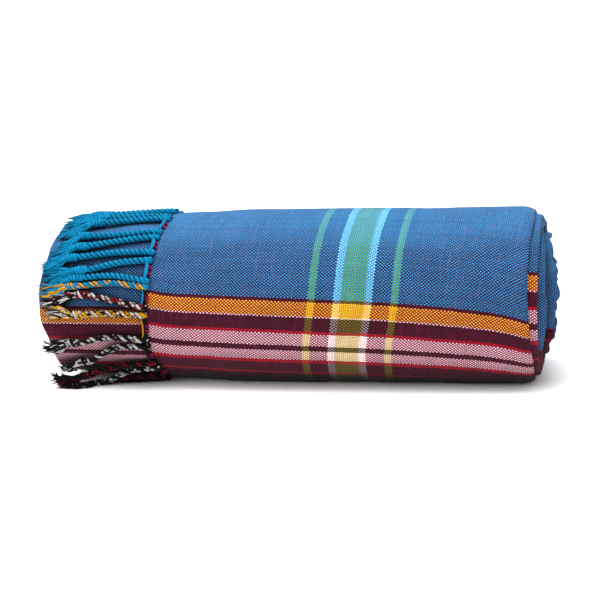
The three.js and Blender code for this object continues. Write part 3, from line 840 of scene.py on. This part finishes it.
class YarnMesh:
    """Collects tubes of yarn into one mesh, with a colour for each point."""

    def __init__(self, name):
        self.name = name
        self.points, self.faces, self.threads, self.colours = [], [], [], []

    def tube(self, route, radii, sides, colour, core=None, reach=1.0, other=None):
        """Yarn along a route. Near a cord's core it is darkened with painted shade between the plies, and
        other mottles it.
        """
        first = len(self.points)
        run = 0.0
        over = Vector((0.0, 0.3, 1.0))
        for at, (spot, radius) in enumerate(zip(route, radii)):
            ahead = (route[min(at + 1, len(route) - 1)] - route[max(at - 1, 0)]).normalized()
            over = (over - ahead * over.dot(ahead)).normalized()
            beside = ahead.cross(over)
            if at:
                run += (spot - route[at - 1]).length
            for side in range(sides):
                turn = 2 * math.pi * side / sides
                skin = spot + (beside * math.cos(turn) + over * math.sin(turn)) * radius
                skin.z = max(skin.z, LEAST_HEIGHT)
                self.points.append(metres(skin))
                self.threads.append((run, side / sides))
                here = colour
                if other and noise.noise(spot * 0.9 + Vector((side * 0.23, 0, 0))) > 0.16:
                    here = other
                # Painted shade: darker towards the cord's core, between the plies.
                if core:
                    light = 0.08 + 0.92 * ease(((skin - core[at]).length / reach - 0.5) / 0.44)
                    here = tuple(part * light for part in here[:3]) + (1.0,)
                self.colours.append(here)
        for at in range(len(route) - 1):
            for side in range(sides):
                low = first + at * sides
                nxt = (side + 1) % sides
                self.faces.append((low + side, low + nxt, low + sides + nxt, low + sides + side))
        last = first + (len(route) - 1) * sides
        self.faces.append(tuple(first + side for side in range(sides))[::-1])
        self.faces.append(tuple(last + side for side in range(sides)))

    def finish(self):
        piece = threaded_piece(self.name, self.points, self.faces, self.threads, spun_cotton)
        paint = piece.data.color_attributes.new(name="Yarn", type="FLOAT_COLOR", domain="POINT")
        paint.data.foreach_set("color", [part for colour in self.colours for part in colour])
        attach(piece, "root")
        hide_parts("fringe_outer")
        return piece


def smooth_route(stops, count):
    """A curve through (x, angle, lift) stops, kept to the cloth's surface."""
    padded = [stops[0], *stops, stops[-1]]
    route = []
    spans = len(stops) - 1
    for at in range(count + 1):
        share = at / count * spans
        span = min(int(share), spans - 1)
        part = share - span
        p0, p1, p2, p3 = (Vector(stop) for stop in padded[span:span + 4])
        spot = 0.5 * (2 * p1 + (p2 - p0) * part + (2 * p0 - 5 * p1 + 4 * p2 - p3) * part ** 2
                      + (3 * p1 - p0 - 3 * p2 + p3) * part ** 3)
        route.append(over_second(*spot))
    return route


def plies(mesh, route, radius, offset, turn_length, colours, start_turn, sides=7):
    """Winds one yarn of each colour round a route."""
    frames, run, over = [], 0.0, Vector((0.0, 0.3, 1.0))
    for at, spot in enumerate(route):
        ahead = (route[min(at + 1, len(route) - 1)] - route[max(at - 1, 0)]).normalized()
        over = (over - ahead * over.dot(ahead)).normalized()
        if at:
            run += (spot - route[at - 1]).length
        frames.append((spot, ahead.cross(over), over.copy(), run))
    count = len(colours)
    turn_length *= count
    for ply, colour in enumerate(colours):
        wound = []
        for spot, beside, above, gone in frames:
            turn = start_turn - 2 * math.pi * gone / turn_length + 2 * math.pi * ply / count
            wound.append(spot + (beside * math.cos(turn) + above * math.sin(turn)) * offset)
        other = colours[ply - 1] if colours[ply - 1] != colour else None
        mesh.tube(wound, [radius * (1.0 if count == 2 else 0.86)] * len(wound), sides, colour,
                  route, radius + offset, other)


draw = random.Random(7)
cords = YarnMesh("fringe_cords")
knots = YarnMesh("fringe_knots")
tassels = YarnMesh("fringe_tassels")
for root, half, knot, tip, knot_x, tip_x, size, off, colours in FRINGE:
    # The cord, from the cloth's edge to its knot. Those under the roll are pressed flatter.
    root_x = round_table(FRINGE_EDGE, root) + 1.0
    under = 80 <= root <= 104
    cord_lift = PRESSED_LIFT if under else CORD_LIFT
    squash = PRESSED if under else 1.0
    stops = [(root_x, root, cord_lift * 0.75), (root_x - 4, root + (half - root) * 0.2, cord_lift),
             ((root_x + knot_x) / 2, half, cord_lift + off * 0.1),
             (knot_x + 2.5, knot, cord_lift + 0.4 + off * 0.4)]
    route = smooth_route(stops, 66)
    twist_from = draw.uniform(0, 6)
    plies(cords, route, PLY_RADIUS * squash, PLY_OFFSET * squash, PLY_TURN, colours, twist_from)
    # The warp ends gathered at its root.
    gather = smooth_route([(root_x + 0.4, root, 0.5), (root_x - 1.2, root, 1.1),
                           (root_x - 4.0, root + (half - root) * 0.15, cord_lift)], 6)
    cords.tube(gather, GATHER_RADII, 8, colours[0], gather, 1.5, colours[-1])
    # The knot, the same plies wound thick and short.
    knot_route = smooth_route([(knot_x + 2.8, knot, size * 0.85 + off * 0.4),
                               (knot_x, knot, size * 0.95 + off * 0.45),
                               (knot_x - KNOT_LENGTH / 2, knot, size * 0.8 + off * 0.5)], 26)
    plies(knots, knot_route, size * 0.42, size * 0.56, KNOT_TURN, colours, twist_from + 1.0)
    # The frayed end: locks of fibre that fan out, each split at its tip.
    length = abs(tip_x - knot_x) - KNOT_LENGTH / 2
    for lock in range(LOCKS):
        fan = 2 * (lock + draw.uniform(0, 1)) / LOCKS - 1
        reach = length * draw.uniform(0.8, 1.42)
        high = draw.uniform(0.2, 1.0) * (1 - 0.5 * abs(fan))
        thick = draw.uniform(0.38, 0.62) * squash
        start_x = knot_x - KNOT_LENGTH / 2 + 1.4
        end_angle = tip + fan * 5.0
        crimp, crimp_from = draw.uniform(0.25, 0.7), draw.uniform(0, 6)
        stops = []
        for at in range(6):
            share = at / 5
            swing = crimp * math.sin(crimp_from + share * 9) * ease(share * 3)
            body = size * (0.9 - 0.35 * share) * (0.4 + high)
            lift = 0.5 + off * (0.5 + 0.5 * share) + body + 0.35 * math.sin(crimp_from * 2 + share * 11)
            angle = knot + fan * 1.6 * (1 - share) + (end_angle - knot) * ease(share) + swing
            stops.append((start_x - reach * share, angle, lift))
        bright = draw.uniform(0.72, 1.12)
        colour = tuple(part * bright for part in draw.choice(colours)[:3]) + (1.0,)
        tassels.tube(smooth_route(stops, 10), [thick * part for part in LOCK_RADII], 5, colour)
        split = draw.uniform(-1.6, 1.6)
        for hair in (-1, 1):
            last = stops[3:5] + [(stops[5][0] - draw.uniform(0.5, 3), stops[5][1] + split + hair * 0.9,
                                  stops[5][2] * draw.uniform(0.5, 1.1))]
            tassels.tube(smooth_route(last, 5), HAIR_RADII, 4, colour)

fringe_pieces = [cords.finish(), knots.finish(), tassels.finish()]


# Along the fringed edge a few warp ends run from each pair of cords to the next, and the
# last magenta pick is caught over them in small stitches.
MAGENTA = yarn(150, 8, 84)
EDGE_STRANDS = 3
STRAND_RADIUS, STITCH_RADIUS = 0.52, 0.42
edge_threads = YarnMesh("edge_threads")
for upper, lower in zip(FRINGE[1::2], FRINGE[2::2]):
    span = lower[0] - upper[0]
    for strand in range(EDGE_STRANDS):
        stops = []
        for share in (0.0, 0.12, 0.4, 0.7, 0.9, 1.0):
            angle = upper[0] + span * share
            sag = math.sin(math.pi * share) ** 0.5
            out = round_table(FRINGE_EDGE, angle) - 2.4 + sag * (1.5 + 0.5 * strand)
            stops.append((out, angle, 1.0 + 0.7 * sag + 0.25 * strand))
        shade = draw.uniform(0.75, 1.1)
        colour = upper[8][0] if strand < 2 else lower[8][0]
        edge_threads.tube(smooth_route(stops, 18), [STRAND_RADIUS] * 19, 6,
                          tuple(part * shade for part in colour[:3]) + (1.0,))
    for stitch in (0.35, 0.62):
        angle = upper[0] + span * (stitch + draw.uniform(-0.08, 0.08))
        edge = round_table(FRINGE_EDGE, angle)
        slant = draw.uniform(-2.2, -0.8)
        for pass_number in (0, 0.55):
            stops = [(edge + 1.4, angle - slant + pass_number, 0.7), (edge + 0.6, angle + pass_number, 1.6),
                     (edge - 0.5, angle + pass_number, 1.9), (edge - 1.2, angle + slant + pass_number, 1.1)]
            edge_threads.tube(smooth_route(stops, 8), [STITCH_RADIUS] * 9, 6, MAGENTA)
fringe_pieces.append(edge_threads.finish())
